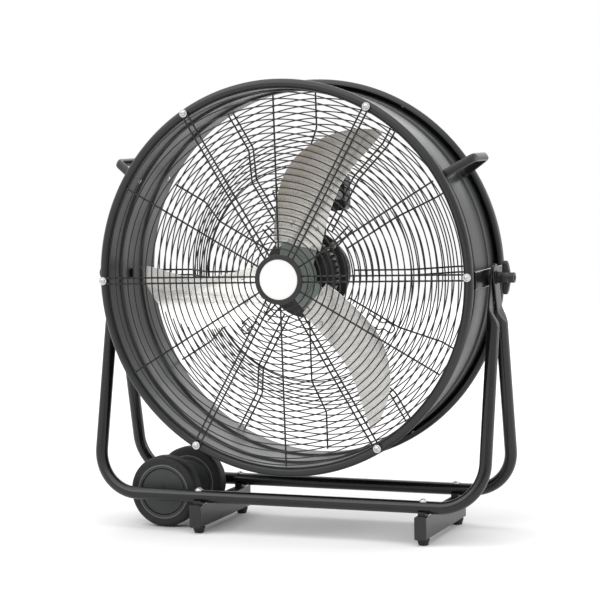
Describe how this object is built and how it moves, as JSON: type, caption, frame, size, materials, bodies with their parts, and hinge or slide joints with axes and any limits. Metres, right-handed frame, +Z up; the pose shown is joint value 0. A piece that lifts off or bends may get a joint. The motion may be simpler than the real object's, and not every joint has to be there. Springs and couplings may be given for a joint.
{
  "type": "drum fan",
  "caption": "Black drum fan with wire guards, tilting on pivots in a bent tube stand with foot bars, rubber feet and small wheels.",
  "frame": {"origin": "on the floor under the middle of the drum", "axes": "+X to the fan's right seen from its outlet, +Y towards the inlet at the back, +Z up"},
  "size_m": [0.78, 0.238, 0.796],
  "materials": {
    "black_coat": "satin black powder coat",
    "black_plastic": "fine grained black moulding",
    "grey_plastic": "dark grey moulding",
    "white_plastic": "plain white",
    "black_rubber": "matt rubber",
    "zinc_steel": "bright zinc plate",
    "blade_aluminium": "rolled sheet",
    "hub_coat": "grey green paint",
    "motor_iron": "laminated iron",
    "copper_wire": "enamelled copper"
  },
  "bodies": {
    "frame": {"front_frame_tube": "black_coat", "rear_frame_tube": "black_coat", "left_foot_bar": "black_coat", "right_foot_bar": "black_coat", "foot_bar_caps": "black_plastic", "rubber_feet": "black_rubber", "tube_saddles": "black_plastic", "stand_bolts": "zinc_steel", "stand_washers": "zinc_steel", "stand_nuts": "zinc_steel", "wheel_axle": "zinc_steel", "axle_spacers": "black_plastic"},
    "drum": {"drum_shell": "black_coat", "front_guard": "black_coat", "rear_guard": "black_coat", "guard_screws": "zinc_steel", "guard_washers": "zinc_steel", "badge_ring": "black_plastic", "badge_disc": "white_plastic", "left_handle": "black_plastic", "right_handle": "black_plastic", "handle_screws": "zinc_steel", "left_pivot_bracket": "black_coat", "right_pivot_bracket": "black_coat", "pivot_bolts": "zinc_steel", "pivot_washers": "black_rubber", "motor_housing": "black_coat", "motor_bells": "black_coat", "motor_bearings": "zinc_steel", "motor_stator": "motor_iron", "motor_windings": "copper_wire", "motor_mount_ring": "black_coat", "mount_bolts": "zinc_steel", "mount_nuts": "zinc_steel", "control_box": "black_plastic", "control_box_lid": "black_plastic", "box_screws": "zinc_steel", "clamp_screws": "zinc_steel", "speed_switch": "grey_plastic", "run_capacitor": "white_plastic", "cable_gland": "black_plastic", "motor_lead": "black_rubber", "cord_hooks": "black_coat"},
    "rotor": {"motor_shaft": "zinc_steel", "motor_core": "motor_iron", "hub_spider": "hub_coat", "hub_set_screw": "zinc_steel", "fan_blade_1": "blade_aluminium", "fan_blade_2": "blade_aluminium", "fan_blade_3": "blade_aluminium", "blade_rivets": "zinc_steel"},
    "front_wheel": {"front_wheel_tyre": "black_rubber", "front_wheel_core": "black_plastic", "front_wheel_caps": "grey_plastic"},
    "rear_wheel": {"rear_wheel_tyre": "black_rubber", "rear_wheel_core": "black_plastic", "rear_wheel_caps": "grey_plastic"},
    "left_knob": {"left_locking_knob": "black_plastic"},
    "right_knob": {"right_locking_knob": "black_plastic"},
    "speed_dial": {"speed_knob": "grey_plastic"}
  },
  "joints": [
    {"name": "drum_tilt", "type": "hinge", "parent": "frame", "child": "drum", "pos_m": [0, 0, 0.451], "axis": [1, 0, 0], "range_deg": [-90, 90]},
    {"name": "rotor_spin", "type": "hinge", "parent": "drum", "child": "rotor", "pos_m": [0, -0.043, 0.451], "axis": [0, 1, 0], "continuous": true},
    {"name": "front_wheel_spin", "type": "hinge", "parent": "frame", "child": "front_wheel", "pos_m": [-0.243, -0.0575, 0.0644], "axis": [0, 1, 0], "continuous": true},
    {"name": "rear_wheel_spin", "type": "hinge", "parent": "frame", "child": "rear_wheel", "pos_m": [-0.243, 0.0575, 0.0644], "axis": [0, 1, 0], "continuous": true},
    {"name": "left_knob_turn", "type": "hinge", "parent": "drum", "child": "left_knob", "pos_m": [-0.37, 0, 0.451], "axis": [-1, 0, 0], "range_deg": [0, 360]},
    {"name": "right_knob_turn", "type": "hinge", "parent": "drum", "child": "right_knob", "pos_m": [0.37, 0, 0.451], "axis": [1, 0, 0], "range_deg": [0, 360]},
    {"name": "speed_dial_turn", "type": "hinge", "parent": "drum", "child": "speed_dial", "pos_m": [0.03, 0.078, 0.6085], "axis": [0, 1, 0], "range_deg": [0, 270]}
  ]
}
